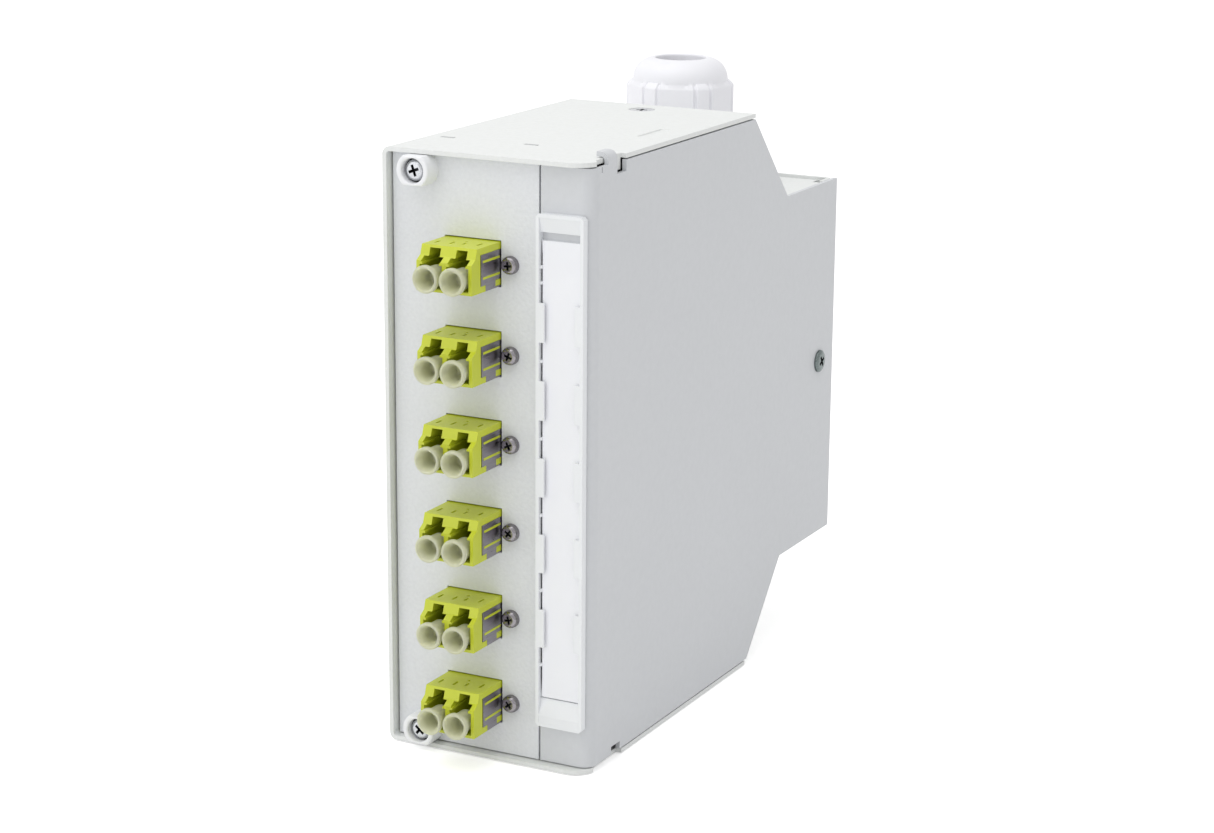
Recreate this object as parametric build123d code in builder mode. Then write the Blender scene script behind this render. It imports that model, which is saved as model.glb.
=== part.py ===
from build123d import *
from math import sqrt
import os

# A fibre box for a 35 mm rail: a folded steel case, a 3U front plate with six duplex adapters,
# a lift-off cover, a cable gland at the back and a splice tray inside. Millimetres.
# X runs across the box, Y from front to back, Z up. The origin is the middle of the bottom plate,
# on the surface that the box stands on.

# Case
width = 48.5
height = 131.0
case_depth = 129.2
sheet = 1.0
bend = 1.75
rear_step = 21.8
step_depth = 29.5
slope_run = 19.1
corner = 5.0
rear_flange = 5.5
screw_ear = 13.0
ear_height = 16.0
press_width = 2.4
press_length = 11.7
press_depth = 0.25
press_inset = 7.2
press_start = 37.7
seam = 0.2
slide_gap = 0.3
flat_gap = 0.1
rear_sink = 0.5

# Front plate and its captive screws
strip_width = 12.0
panel_end = 1.3
panel_gap = 0.45
panel_thickness = 2.0
panel_recess = 2.0
collar_inset = 7.2
collar_end = 2.95
collar_stand = 4.5
collar_width = 7.6
collar_flats = 6.2
collar_bore = 5.2
collar_floor = 1.2
collar_thread = 2.5
collar_head = 4.6
collar_head_height = 2.5
collar_length = 9.5

# Brackets that take the captive screws
bracket_leg = 6.4
bracket_depth = 13.2
bracket_inset = 1.45
tab_width = 3.0
tab_first = 6.0
tab_inset = 8.45

# Adapters
adapter_count = 6
adapter_end_room = 16.45
adapter_drop = 4.9
adapter_shift = 1.75
adapter_width = 13.0
adapter_height = 9.3
adapter_front = 11.8
adapter_rear = 13.9
nose_step = 1.6
nose_slope = 2.6
nose_set = 1.6
brow_set = 2.3
flange_width = 22.0
flange_thickness = 1.6
port_pitch = 6.25
port_drop = 1.7
port_width = 5.2
port_floor = 4.0
port_ceiling = 0.9
neck_width = 3.9
key_width = 4.55
key_top = 2.45
latch_width = 2.55
latch_top = 4.1
key_start = 1.4
sleeve_bore = 1.26
web = 2.0
cutout_gap = 0.25

# Steel saddle clip of an adapter
clip_sheet = 0.3
side_frame = 3.6
clip_gap = 0.3
clip_top = 3.2
clip_play = 0.05
foot_length = 2.1
foot_height = 1.3
rear_foot_start = 9.8

# Dust caps
rim_width = 5.85
rim_length = 1.1
cap_width = 4.5
cap_stand = 2.6
cap_grip = 3.0
cap_bore = 3.6
cap_floor = 1.2
inner_plug = 5.0
inner_bar = 1.2
inner_width = 4.4

# Small screws
case_screw = 3.0
pan_head = 5.6
pan_height = 2.1
sunk_head = 6.0
thread_gap = 0.05
hole_gap = 0.2
sunk_inset = 7.1
sunk_shift = 0.85
cover_screw_inset = 8.5

# Cover and its label holder
cover_bend = 3.0
lip_bend = 1.8
lip_start = 8.6
lip_end = 12.5
notch_start = 3.5
notch_end = 16.6
notch_depth = 1.3
cover_notch = 4.1
cover_notch_depth = 2.4
foot_start = 5.6
foot_end = 11.7
foot_reach = 4.5
lug_length = 1.6
lug_drop = 2.4
holder_edge = 1.25
holder_lap = 0.25
holder_bottom = 9.7
holder_head = 11.0
holder_thickness = 1.8
holder_corner = 0.6
rim = 0.75
pocket_depth = 1.2
tab_count = 5
tab_end = 22.2
tab_drop = 0.4
tab_length = 8.3
tab_reach = 1.2
tab_thickness = 0.5
label_foot = 6.4
label_head = 5.6
label_thickness = 0.3
label_play = 0.4
ramp_bottom = 4.0
ramp_top = 1.8
nub_width = 0.6

# Cable gland
gland_x = 13.4
gland_inset = 15.2
gland_thread = 19.9
gland_bore = 13.6
gland_flats = 24.0
gland_corners = 25.7
gland_flange = 8.0
gland_tail = 10.0
locknut_height = 5.0
locknut_corners = 25.0
nut_gap = 0.8
nut_body = 14.9
nut_chamfer = 1.0
nut_dome = 5.4
dome_width = 22.8
dome_foot = 0.4
nut_mouth = 12.0
nut_turn = -8.5
groove_angle = 21.0
groove_width = 0.8
neck_thread = 18.2
neck_height = 9.5
seal_bore = 10.0
seal_height = 7.0
seal_proud = 1.0

# Rail clip
rail_height = 35.0
rail_lip = 1.0
clip_plate = 1.5
clip_width = 30.0
hook_reach = 2.4
rail_play = 0.2
clip_below = 17.0
latch_width_x = 20.0
latch_gap = 0.05
latch_plate = 1.2
latch_below = 19.5
latch_travel = 3.5
rivet = 3.0
rivet_head = 5.6
rivet_spacing = 14.0
rivet_drop = 10.0
window_width = 7.0
window_top = 4.0
spring_length = 8.0
spring_leaf = 0.5
spring_folds = 4
spring_depth = 1.0
stop_thickness = 1.2
release_width = 6.0
release_height = 2.0

# Splice tray
tray_front = 33.0
tray_gap = 4.7
tray_bottom = 15.0
tray_head = 16.0
tray_stand = 7.0
tray_floor = 1.5
tray_wall = 1.5
tray_depth = 9.0
tray_corner = 14.0
tray_gate = 12.0
lid_thickness = 1.2
drum_width = 22.0
drum_height = 6.0
drum_wall = 1.2
drum_gap = 5.0
finger_reach = 6.0
finger_gap = 0.5
finger_width = 5.0
standoff_flats = 5.5
comb_gap = 14.0
comb_height = 5.0
comb_slots = 6
comb_slot = 2.4
comb_wall = 1.2

# Places that follow from the sizes
left = -width / 2
right = width / 2
slope_end = case_depth - step_depth
plate_depth = slope_end - slope_run
front = -plate_depth / 2
plate_end = front + plate_depth
rear = front + case_depth
slope_y = front + slope_end
low = rear_step
high = height - rear_step
mid = height / 2
panel_front = front + panel_recess
panel_back = panel_front + panel_thickness
panel_left = left + sheet + panel_gap
strip_left = right - strip_width
panel_right = strip_left - panel_gap
panel_bottom = panel_end
panel_top = height - panel_end
panel_height = panel_top - panel_bottom
collar_x = panel_left + collar_inset
collar_spacing = panel_height - 2 * collar_end
adapter_cx = (panel_left + panel_right) / 2 + adapter_shift
adapter_pitch = (panel_height - 2 * adapter_end_room) / (adapter_count - 1)
adapter_middle = mid - adapter_drop
nose_y = panel_front - adapter_front
flange_back = panel_back + flange_thickness
adapter_end = flange_back + adapter_rear
web_y = panel_back + flange_thickness / 2
adapter_zs = [adapter_middle + (i - (adapter_count - 1) / 2) * adapter_pitch for i in range(adapter_count)]
port_xs = [adapter_cx - port_pitch / 2, adapter_cx + port_pitch / 2]
cover_inside = right - sheet
inner_right = cover_inside - seam
gland_cx = left + gland_x
gland_cy = rear - gland_inset
gland_seat = high - rear_sink
clip_cx = (left + right) / 2
sunk_x = clip_cx - sunk_shift
sunk_y = plate_end - sunk_inset
cover_screw_y = rear - cover_screw_inset

os.makedirs("parts", exist_ok=True)


def save(builder, name):
    builder.part.label = name
    export_step(builder.part, f"parts/{name}.step")


# Y stations are given as a plane whose sketch lies across the box, seen from the front.
def across(y):
    return Plane.XZ.offset(-y)


# Sketches on this plane are seen from the right, with Y to the right and Z up.
def lengthwise(x):
    return Plane.YZ.offset(x)


# A box between two corners, whatever their order.
def block(x0, x1, y0, y1, z0, z1, mode=Mode.ADD):
    with Locations(((x0 + x1) / 2, (y0 + y1) / 2, (z0 + z1) / 2)):
        Box(abs(x1 - x0), abs(y1 - y0), abs(z1 - z0), mode=mode)


# Case: left side, top, bottom and rear wall are folded from one sheet.
ear_front = rear - screw_ear
bracket_left = left + bend + flat_gap
bracket_right = panel_right - bracket_inset
bracket_slot_y = panel_back + bracket_depth - sheet / 2
tab_xs = (left + tab_first, bracket_right - tab_inset)
with BuildPart() as chassis:
    with BuildSketch(across(front)):
        with BuildLine():
            FilletPolyline((right, height), (left, height), (left, 0), (right, 0), radius=bend)
            offset(amount=sheet, side=Side.LEFT)
        make_face()
    extrude(amount=-plate_depth)
    with BuildSketch(lengthwise(left)):
        with BuildLine():
            Polyline(
                (plate_end - corner, bend),
                (plate_end, bend),
                (slope_y, low),
                (rear - bend, low),
                (rear - bend, high),
                (slope_y, high),
                (plate_end, height - bend),
                (plate_end - corner, height - bend),
                close=True,
            )
        make_face()
    extrude(amount=sheet)
    with BuildSketch(Plane.XY.offset(low)):
        with BuildLine():
            FilletPolyline(
                (left, slope_y + corner),
                (left, rear),
                (inner_right, rear),
                (inner_right, ear_front),
                radius=bend,
            )
            offset(amount=sheet, side=Side.RIGHT)
        make_face()
    extrude(amount=high - low)
    for z0, z1 in ((low, mid - ear_height / 2), (mid + ear_height / 2, high)):
        block(inner_right - 2 * sheet, right, ear_front, rear - rear_flange, z0, z1, mode=Mode.SUBTRACT)
    corners = chassis.edges().filter_by(Axis.Z).filter_by_position(Axis.X, right - 0.1, right + 0.1)
    fillet(corners.filter_by_position(Axis.Y, front - 0.1, front + 0.1), corner)
    with BuildSketch(Plane.XY):
        with BuildLine():
            Polyline(
                (right, front + notch_start),
                (right - notch_depth, front + foot_start),
                (right - notch_depth, front + notch_end),
                (right + sheet, front + notch_end),
                (right + sheet, front + notch_start),
                close=True,
            )
        make_face()
    extrude(amount=height, mode=Mode.SUBTRACT)
    lug_right = inner_right - flat_gap
    lug_end = front + notch_end - seam
    block(lug_right - sheet, lug_right, lug_end - lug_length, lug_end,
          height - sheet - lug_drop, height - sheet)
    for x in tab_xs:
        block(x - tab_width / 2 - seam, x + tab_width / 2 + seam, bracket_slot_y - sheet / 2 - flat_gap,
              bracket_slot_y + sheet / 2 + flat_gap, -sheet, height + sheet, mode=Mode.SUBTRACT)
    with Locations((sunk_x, sunk_y, mid)):
        Cylinder(sunk_head / 2, 2 * height, mode=Mode.SUBTRACT)
    with Locations(Plane.YZ.offset(inner_right) * Location((cover_screw_y, mid))):
        Hole(case_screw / 2 + thread_gap, depth=2 * sheet)
    block(right - press_inset - press_width / 2, right - press_inset + press_width / 2, front + press_start,
          front + press_start + press_length, height - press_depth, height, mode=Mode.SUBTRACT)
save(chassis, "chassis")

# Rear plates: one folded sheet closes the slope and the step above, its mirror image the ones below.
plate_left = left + sheet + flat_gap
plate_right = cover_inside - flat_gap
ear_room = inner_right - sheet - flat_gap - bend
with BuildPart() as upper_rear_plate:
    with BuildSketch(lengthwise(plate_left)):
        with BuildLine():
            FilletPolyline(
                (sunk_y - sunk_head, height - sheet),
                (plate_end, height - sheet),
                (slope_y, gland_seat),
                (rear - sheet, gland_seat),
                (rear - sheet, gland_seat - rear_flange),
                radius=bend,
            )
            offset(amount=sheet, side=Side.RIGHT)
        make_face()
    extrude(amount=plate_right - plate_left)
    block(ear_room, right, rear - rear_flange - flat_gap, rear, mid, height, mode=Mode.SUBTRACT)
    bend_room = left + bend + flat_gap
    block(left, bend_room, front, plate_end + flat_gap, height - 2 * sheet, height, mode=Mode.SUBTRACT)
    block(left, bend_room, rear - bend - flat_gap, rear, mid, height, mode=Mode.SUBTRACT)
lower_blank = mirror(upper_rear_plate.part, about=Plane.XY.offset(mid))
with BuildPart() as gland_plate:
    add(upper_rear_plate.part)
    with Locations((sunk_x, sunk_y, height)):
        Cylinder(case_screw / 2, 4 * sheet, mode=Mode.SUBTRACT)
    with Locations((gland_cx, gland_cy, gland_seat - sheet / 2)):
        Cylinder(gland_thread / 2 + thread_gap, 2 * sheet, mode=Mode.SUBTRACT)
save(gland_plate, "gland_plate")

with BuildPart() as lower_rear_plate:
    add(lower_blank)
    with Locations((sunk_x, sunk_y, 0)):
        Cylinder(case_screw / 2, 4 * sheet, mode=Mode.SUBTRACT)
save(lower_rear_plate, "lower_rear_plate")

# Cover: a folded sheet with the strip beside the front plate and the whole right side.
cover_low = panel_bottom
cover_high = panel_top
with BuildPart() as cover:
    with BuildSketch(Plane.XY.offset(cover_low)):
        with BuildLine():
            FilletPolyline(
                (strip_left, panel_front),
                (right, panel_front),
                (right, plate_end),
                radius=cover_bend,
            )
            offset(amount=sheet, side=Side.LEFT)
        make_face()
    extrude(amount=cover_high - cover_low)
    with BuildSketch(lengthwise(cover_inside)):
        with BuildLine():
            Polyline(
                (plate_end - corner, cover_low),
                (plate_end + sheet, cover_low),
                (slope_y, low),
                (rear, low),
                (rear, high),
                (slope_y, high),
                (plate_end, cover_high),
                (plate_end - corner, cover_high),
                close=True,
            )
        make_face()
    extrude(amount=sheet)
    # lip that hooks over the top plate
    with BuildSketch(across(front + lip_start)):
        with BuildLine():
            FilletPolyline(
                (right, cover_high - sheet),
                (right, height + lip_bend - sheet / 2),
                (right - lip_bend - sheet, height + lip_bend - sheet / 2),
                radius=lip_bend,
            )
            offset(amount=sheet, side=Side.LEFT)
        make_face()
    extrude(amount=lip_start - lip_end)
    # lip that lies on the bottom plate
    with BuildSketch(across(front + foot_start)):
        with BuildLine():
            FilletPolyline(
                (right, cover_low + corner),
                (right, cover_low),
                (right - foot_reach, cover_low),
                radius=bend,
            )
            offset(amount=sheet, side=Side.RIGHT)
        make_face()
    extrude(amount=foot_start - foot_end)
    block(cover_inside - seam, right, front + lip_end, front + lip_end + cover_notch,
          cover_high - cover_notch_depth, height, mode=Mode.SUBTRACT)
    block(cover_inside - seam, right, front + foot_end, front + foot_end + cover_notch,
          cover_low - sheet, cover_low + bend, mode=Mode.SUBTRACT)
    block(right - cover_bend, right, front + foot_start, front + foot_start + seam * 2,
          cover_high - 1.2, height, mode=Mode.SUBTRACT)
    with Locations(Plane.YZ.offset(cover_inside) * Location((cover_screw_y, mid))):
        Hole(case_screw / 2 + hole_gap, depth=2 * sheet)
save(cover, "cover")

with BuildPart() as cover_screw:
    with BuildSketch(lengthwise(right)):
        with Locations((cover_screw_y, mid)):
            Circle(pan_head / 2)
    extrude(amount=pan_height)
    with BuildSketch(lengthwise(right)):
        with Locations((cover_screw_y, mid)):
            Circle(case_screw / 2)
    extrude(amount=-3 * sheet - pan_height)
save(cover_screw, "cover_screw")

# Label holder on the strip, open at the front, with tabs over the label's edges.
holder_x = strip_left - holder_lap
holder_width = right - holder_edge - holder_x
holder_length = height - holder_bottom - holder_head
holder_front = panel_front - holder_thickness
holder_middle = holder_bottom + holder_length / 2
pocket_left = holder_x + rim
pocket_right = holder_x + holder_width - rim
pocket_back = holder_front + pocket_depth
label_bottom = holder_bottom + label_foot
label_top = holder_bottom + holder_length - label_head
tab_pitch = (holder_length - 2 * tab_end) / (tab_count - 1)
tab_zs = [holder_middle - tab_drop + (i - (tab_count - 1) / 2) * tab_pitch for i in range(tab_count)]
nub_zs = [z + tab_pitch / 2 for z in tab_zs]
nub_zs += [tab_zs[0] - tab_pitch / 2, tab_zs[-1] + 0.7 * tab_pitch]
with BuildPart() as label_holder:
    with BuildSketch(across(panel_front)):
        with Locations(((pocket_left + pocket_right) / 2, holder_middle)):
            Rectangle(holder_width, holder_length)
        chamfer(vertices(), holder_corner)
    extrude(amount=holder_thickness)
    with BuildSketch(lengthwise(pocket_left)):
        with BuildLine():
            Polyline(
                (holder_front, label_bottom - ramp_bottom),
                (pocket_back, label_bottom - label_play),
                (pocket_back, label_top + label_play),
                (holder_front, label_top + ramp_top),
                close=True,
            )
        make_face()
    extrude(amount=pocket_right - pocket_left, mode=Mode.SUBTRACT)
    for z in tab_zs:
        for x0, x1 in ((pocket_left, pocket_left + tab_reach), (pocket_right - tab_reach, pocket_right)):
            block(x0, x1, holder_front, holder_front + tab_thickness, z - tab_length / 2, z + tab_length / 2)
    for z in nub_zs:
        block(pocket_left, pocket_left + label_play, holder_front + tab_thickness, pocket_back,
              z - nub_width / 2, z + nub_width / 2)
save(label_holder, "label_holder")

with BuildPart() as label_strip:
    block(pocket_left + label_play, pocket_right - flat_gap, pocket_back - label_thickness, pocket_back,
          label_bottom, label_top)
save(label_strip, "label_strip")

# Front plate with the adapter cut-outs.
collar_zs = [mid + side * collar_spacing / 2 for side in (1, -1)]
with BuildPart() as front_panel:
    block(panel_left, panel_right, panel_front, panel_back, panel_bottom, panel_top)
    with BuildSketch(across(panel_front)):
        with Locations(*[(adapter_cx, z) for z in adapter_zs]):
            Rectangle(adapter_width + 2 * cutout_gap, adapter_height + 2 * cutout_gap)
        with Locations(*[(collar_x, z) for z in collar_zs]):
            Circle(collar_thread / 2 + hole_gap)
    extrude(amount=-panel_thickness, mode=Mode.SUBTRACT)
save(front_panel, "front_panel")

# Captive collar screws: a white sleeve with two flats holds each screw to the plate.
sleeve_floor = panel_front - collar_floor
for name, z in zip(("upper", "lower"), collar_zs):
    with BuildPart() as collar:
        with BuildSketch(across(panel_front)):
            with Locations((collar_x, z)):
                Circle(collar_width / 2)
                Rectangle(collar_width, collar_flats, mode=Mode.INTERSECT)
        extrude(amount=collar_stand)
        with BuildSketch(across(sleeve_floor)):
            with Locations((collar_x, z)):
                Circle(collar_bore / 2)
        extrude(amount=collar_stand, mode=Mode.SUBTRACT)
        with BuildSketch(across(panel_front)):
            with Locations((collar_x, z)):
                Circle(collar_thread / 2 + hole_gap)
        extrude(amount=collar_stand, mode=Mode.SUBTRACT)
    save(collar, f"collar_sleeve_{name}")
    with BuildPart() as collar_screw:
        with BuildSketch(across(sleeve_floor)):
            with Locations((collar_x, z)):
                Circle(collar_head / 2)
        extrude(amount=collar_head_height)
        with BuildSketch(across(sleeve_floor)):
            with Locations((collar_x, z)):
                Circle(collar_thread / 2)
        extrude(amount=-collar_length)
    save(collar_screw, f"collar_screw_{name}")

# Brackets behind the plate: the leg takes a captive screw, two tabs come through the case.
with BuildPart() as bracket:
    with BuildSketch(lengthwise(bracket_left)):
        with BuildLine():
            FilletPolyline(
                (panel_back + slide_gap, height - sheet - bracket_leg),
                (panel_back + slide_gap, height - sheet),
                (panel_back + bracket_depth, height - sheet),
                radius=bend,
            )
            offset(amount=sheet, side=Side.RIGHT)
        make_face()
    extrude(amount=bracket_right - bracket_left)
    for x in tab_xs:
        block(x - tab_width / 2, x + tab_width / 2, bracket_slot_y - sheet / 2, bracket_slot_y + sheet / 2,
              height - 2 * sheet, height)
    with BuildSketch(across(panel_back)):
        with Locations((collar_x, collar_zs[0])):
            Circle(collar_thread / 2 + thread_gap)
    extrude(amount=-3 * sheet, mode=Mode.SUBTRACT)
save(bracket, "panel_bracket_upper")
lower_bracket = mirror(bracket.part, about=Plane.XY.offset(mid))
lower_bracket.label = "panel_bracket_lower"
export_step(lower_bracket, "parts/panel_bracket_lower.step")

# Adapter housing, drawn on the level of its middle and then set at each place.
half_width = adapter_width / 2
half_height = adapter_height / 2
recess = clip_sheet + clip_play
frame_end = nose_y + side_frame
foot_end_y = frame_end + foot_length
rear_foot_y = nose_y + rear_foot_start
with BuildPart() as housing:
    with BuildSketch(lengthwise(adapter_cx)):
        with BuildLine():
            Polyline(
                (nose_y, -half_height),
                (nose_y, nose_step),
                (nose_y + nose_set, nose_slope),
                (nose_y + brow_set, half_height),
                (adapter_end - brow_set, half_height),
                (adapter_end - nose_set, nose_slope),
                (adapter_end, nose_step),
                (adapter_end, -half_height),
                close=True,
            )
        make_face()
    extrude(amount=half_width, both=True)
    block(adapter_cx - flange_width / 2, adapter_cx + flange_width / 2, panel_back, flange_back,
          -half_height, half_height)
    # ports with their key and latch slots, cut from both ends up to the middle web; the bores for the
    # sleeves in that web are six-sided
    with BuildSketch(across(nose_y)) as port_shape:
        for x in port_xs:
            with Locations((x, (port_ceiling - port_floor) / 2)):
                Rectangle(port_width, port_ceiling + port_floor)
            with Locations((x, (port_ceiling + key_start) / 2)):
                Rectangle(neck_width, key_start - port_ceiling)
            with Locations((x, (key_start + key_top) / 2)):
                Rectangle(key_width, key_top - key_start)
            with Locations((x, (key_top + latch_top) / 2)):
                Rectangle(latch_width, latch_top - key_top)
    extrude(amount=-(web_y - web / 2 - nose_y), mode=Mode.SUBTRACT)
    with BuildSketch(across(adapter_end)):
        add(port_shape.sketch_local)
    extrude(amount=adapter_end - web_y - web / 2, mode=Mode.SUBTRACT)
    with BuildSketch(across(web_y)):
        with Locations(*[(x, -port_drop) for x in port_xs]):
            RegularPolygon(sleeve_bore / 2, 6)
    extrude(amount=web, both=True, mode=Mode.SUBTRACT)
    # side recesses for the saddle clip, with a foot left standing at each end
    for x, away in ((adapter_cx + half_width, -recess), (adapter_cx - half_width, recess)):
        with BuildSketch(lengthwise(x)):
            with Locations(((frame_end + panel_back) / 2, (clip_top - half_height) / 2)):
                Rectangle(panel_back - frame_end, clip_top + half_height)
            with Locations(((frame_end + foot_end_y) / 2, (foot_height - adapter_height) / 2)):
                Rectangle(foot_length, foot_height, mode=Mode.SUBTRACT)
            with Locations((rear_foot_y + foot_length / 2, recess + foot_height / 2 - half_height)):
                Rectangle(foot_length, foot_height, mode=Mode.SUBTRACT)
        extrude(amount=away, mode=Mode.SUBTRACT)
    block(adapter_cx - half_width, adapter_cx + half_width, foot_end_y, panel_back,
          -half_height, recess - half_height, mode=Mode.SUBTRACT)

# Saddle clip, a stamped strip round the bottom and the two sides.
clip_start = frame_end + clip_gap
clip_end = panel_back - clip_play
with BuildPart() as saddle:
    for x, away in ((adapter_cx + half_width, -clip_sheet), (adapter_cx - half_width, clip_sheet)):
        with BuildSketch(lengthwise(x)):
            with Locations(((clip_start + clip_end) / 2, (clip_top - clip_play - half_height) / 2)):
                Rectangle(clip_end - clip_start, clip_top - clip_play + half_height)
            with Locations(((frame_end + foot_end_y) / 2, (foot_height + clip_play - adapter_height) / 2)):
                Rectangle(foot_length + 2 * clip_play, foot_height + clip_play, mode=Mode.SUBTRACT)
            with Locations((rear_foot_y + foot_length / 2, recess + foot_height / 2 - half_height)):
                Rectangle(foot_length + 2 * clip_play, foot_height + 2 * clip_play, mode=Mode.SUBTRACT)
        extrude(amount=away)
    block(adapter_cx - half_width, adapter_cx + half_width, foot_end_y + clip_play, clip_end,
          -half_height, clip_sheet - half_height)

# Dust cap of a port.
cap_front = nose_y - cap_stand
cap_end = nose_y + cap_grip
with BuildPart() as cap:
    with BuildSketch(Plane.YZ):
        with BuildLine():
            Polyline(
                (cap_front, cap_bore / 2),
                (cap_front, rim_width / 2),
                (cap_front + rim_length, rim_width / 2),
                (cap_front + rim_length, cap_width / 2),
                (cap_end, cap_width / 2),
                (cap_end, 0),
                (cap_end - cap_floor, 0),
                (cap_end - cap_floor, cap_bore / 2),
                close=True,
            )
        make_face()
    revolve(axis=Axis.Y)

for number, (x, z) in enumerate([(x, z) for z in adapter_zs for x in port_xs], 1):
    placed = cap.part.moved(Location((x, 0, z - port_drop)))
    placed.label = f"dust_cap_{number}"
    export_step(placed, f"parts/dust_cap_{number}.step")

for shape, name in ((housing, "adapters"), (saddle, "adapter_clips")):
    with BuildPart() as row:
        with Locations(*[(0, 0, z) for z in adapter_zs]):
            add(shape.part)
    save(row, name)

# Duplex plugs that close the ports inside the box.
with BuildPart() as inner_plugs:
    for z in adapter_zs:
        bar_z = z - port_drop
        block(port_xs[0] - inner_width / 2, port_xs[1] + inner_width / 2, adapter_end,
              adapter_end + inner_bar, bar_z - inner_width / 2, bar_z + inner_width / 2)
        for x in port_xs:
            block(x - inner_width / 2, x + inner_width / 2, adapter_end - inner_plug, adapter_end,
                  bar_z - inner_width / 2, bar_z + inner_width / 2)
save(inner_plugs, "inner_plugs")

# Cable gland: hexagon body with a tail through the plate, locknut, seal and clamping nut.
gland_top = gland_seat + gland_flange
neck_top = gland_top + neck_height
seal_bottom = neck_top + seal_proud - seal_height
with BuildPart() as gland_body:
    with BuildSketch(Plane.XY.offset(gland_seat)):
        with Locations((gland_cx, gland_cy)):
            RegularPolygon(gland_flats / 2, 6, major_radius=False, rotation=30)
            Circle(gland_corners / 2, mode=Mode.INTERSECT)
    extrude(amount=gland_flange)
    for z0, z1, reach in ((gland_seat - gland_tail, gland_seat, gland_thread),
                          (gland_top, neck_top, neck_thread)):
        with Locations((gland_cx, gland_cy, (z0 + z1) / 2)):
            Cylinder(reach / 2, z1 - z0)
    with Locations((gland_cx, gland_cy, (gland_seat - gland_tail + neck_top) / 2)):
        Cylinder(gland_bore / 2, neck_top - gland_seat + gland_tail, mode=Mode.SUBTRACT)
save(gland_body, "gland_body")

with BuildPart() as gland_locknut:
    with BuildSketch(Plane.XY.offset(gland_seat - sheet)):
        with Locations((gland_cx, gland_cy)):
            RegularPolygon(gland_flats / 2, 6, major_radius=False, rotation=30)
            Circle(locknut_corners / 2, mode=Mode.INTERSECT)
            Circle(gland_thread / 2 + thread_gap, mode=Mode.SUBTRACT)
    extrude(amount=-locknut_height)
save(gland_locknut, "gland_locknut")

with BuildPart() as gland_seal:
    with Locations((gland_cx, gland_cy, seal_bottom + seal_height / 2)):
        Cylinder(gland_bore / 2 - thread_gap, seal_height)
        Cylinder(seal_bore / 2, seal_height, mode=Mode.SUBTRACT)
save(gland_seal, "gland_seal")

nut_bottom = gland_top + nut_gap
hexagon_top = nut_bottom + nut_body
nut_top = hexagon_top + nut_dome
chamber_top = seal_bottom + seal_height + slide_gap
dome_radius = nut_dome - dome_foot
dome_bend = dome_radius * (1 - sqrt(0.5))
dome_side = gland_cx + dome_width / 2
with BuildPart() as gland_nut:
    with BuildSketch(Plane.XY.offset(nut_bottom)):
        with Locations(Location((gland_cx, gland_cy), nut_turn)):
            RegularPolygon(gland_flats / 2, 6, major_radius=False, rotation=30)
            Circle(gland_corners / 2, mode=Mode.INTERSECT)
    extrude(amount=nut_body)
    chamfer(gland_nut.edges().group_by(Axis.Z)[-1], nut_chamfer)
    for turn in range(6):
        for side in (1, -1):
            angle = nut_turn + 60 * turn + side * groove_angle
            with Locations(Location((gland_cx, gland_cy, nut_bottom + nut_body / 2), (0, 0, angle))
                           * Location((gland_corners / 2, 0, 0))):
                Box(groove_width, groove_width, nut_body, mode=Mode.SUBTRACT)
    with BuildSketch(across(gland_cy)):
        with BuildLine():
            Polyline(
                (gland_cx, hexagon_top),
                (dome_side, hexagon_top),
                (dome_side, nut_top - dome_radius),
                (dome_side - dome_bend, nut_top - dome_bend),
                (dome_side - dome_radius, nut_top),
                (gland_cx, nut_top),
                close=True,
            )
        make_face()
    revolve(axis=Axis((gland_cx, gland_cy, 0), (0, 0, 1)))
    with Locations((gland_cx, gland_cy, (nut_bottom + nut_top) / 2)):
        Cylinder(nut_mouth / 2, nut_top - nut_bottom, mode=Mode.SUBTRACT)
    with Locations((gland_cx, gland_cy, (nut_bottom + chamber_top) / 2)):
        Cylinder(neck_thread / 2 + thread_gap, chamber_top - nut_bottom, mode=Mode.SUBTRACT)
save(gland_nut, "gland_nut")

# Rail clip: a welded bracket with a hook over the rail's upper lip, and two rivets that guide a latch.
lip_high = mid + rail_height / 2
lip_low = mid - rail_height / 2
plate_back = rear + clip_plate
hook_top = lip_high + rail_play + clip_plate
hook_back = plate_back + rail_lip + rail_play + clip_plate
rivet_z = lip_low - rivet_drop
window_high = lip_low - window_top
stop_top = window_high - spring_length
stop_bottom = stop_top - stop_thickness
latch_front = plate_back + latch_gap
latch_back = latch_front + latch_plate
finger_front = plate_back + rail_lip + rail_play
latch_low = lip_low - latch_below
with BuildPart() as rail_bracket:
    with BuildSketch(lengthwise(clip_cx - clip_width / 2)):
        with BuildLine():
            FilletPolyline(
                (rear, lip_low - clip_below),
                (rear, hook_top),
                (hook_back, hook_top),
                (hook_back, lip_high - hook_reach),
                radius=bend,
            )
            offset(amount=clip_plate, side=Side.RIGHT)
        make_face()
    extrude(amount=clip_width)
    stop_room = window_width / 2 - rail_play
    block(clip_cx - stop_room, clip_cx + stop_room, rear, latch_back, stop_bottom, stop_top)
    block(clip_cx - stop_room, clip_cx + stop_room, rear, plate_back, stop_top, stop_top + latch_plate,
          mode=Mode.SUBTRACT)
    for y0, y1, reach in ((plate_back, latch_back + latch_gap, rivet),
                          (latch_back + latch_gap, latch_back + latch_gap + latch_plate, rivet_head)):
        with BuildSketch(across(y0)):
            with Locations((clip_cx, rivet_z)):
                with GridLocations(rivet_spacing, 0, 2, 1):
                    Circle(reach / 2)
        extrude(amount=y0 - y1)
save(rail_bracket, "rail_bracket")

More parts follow.
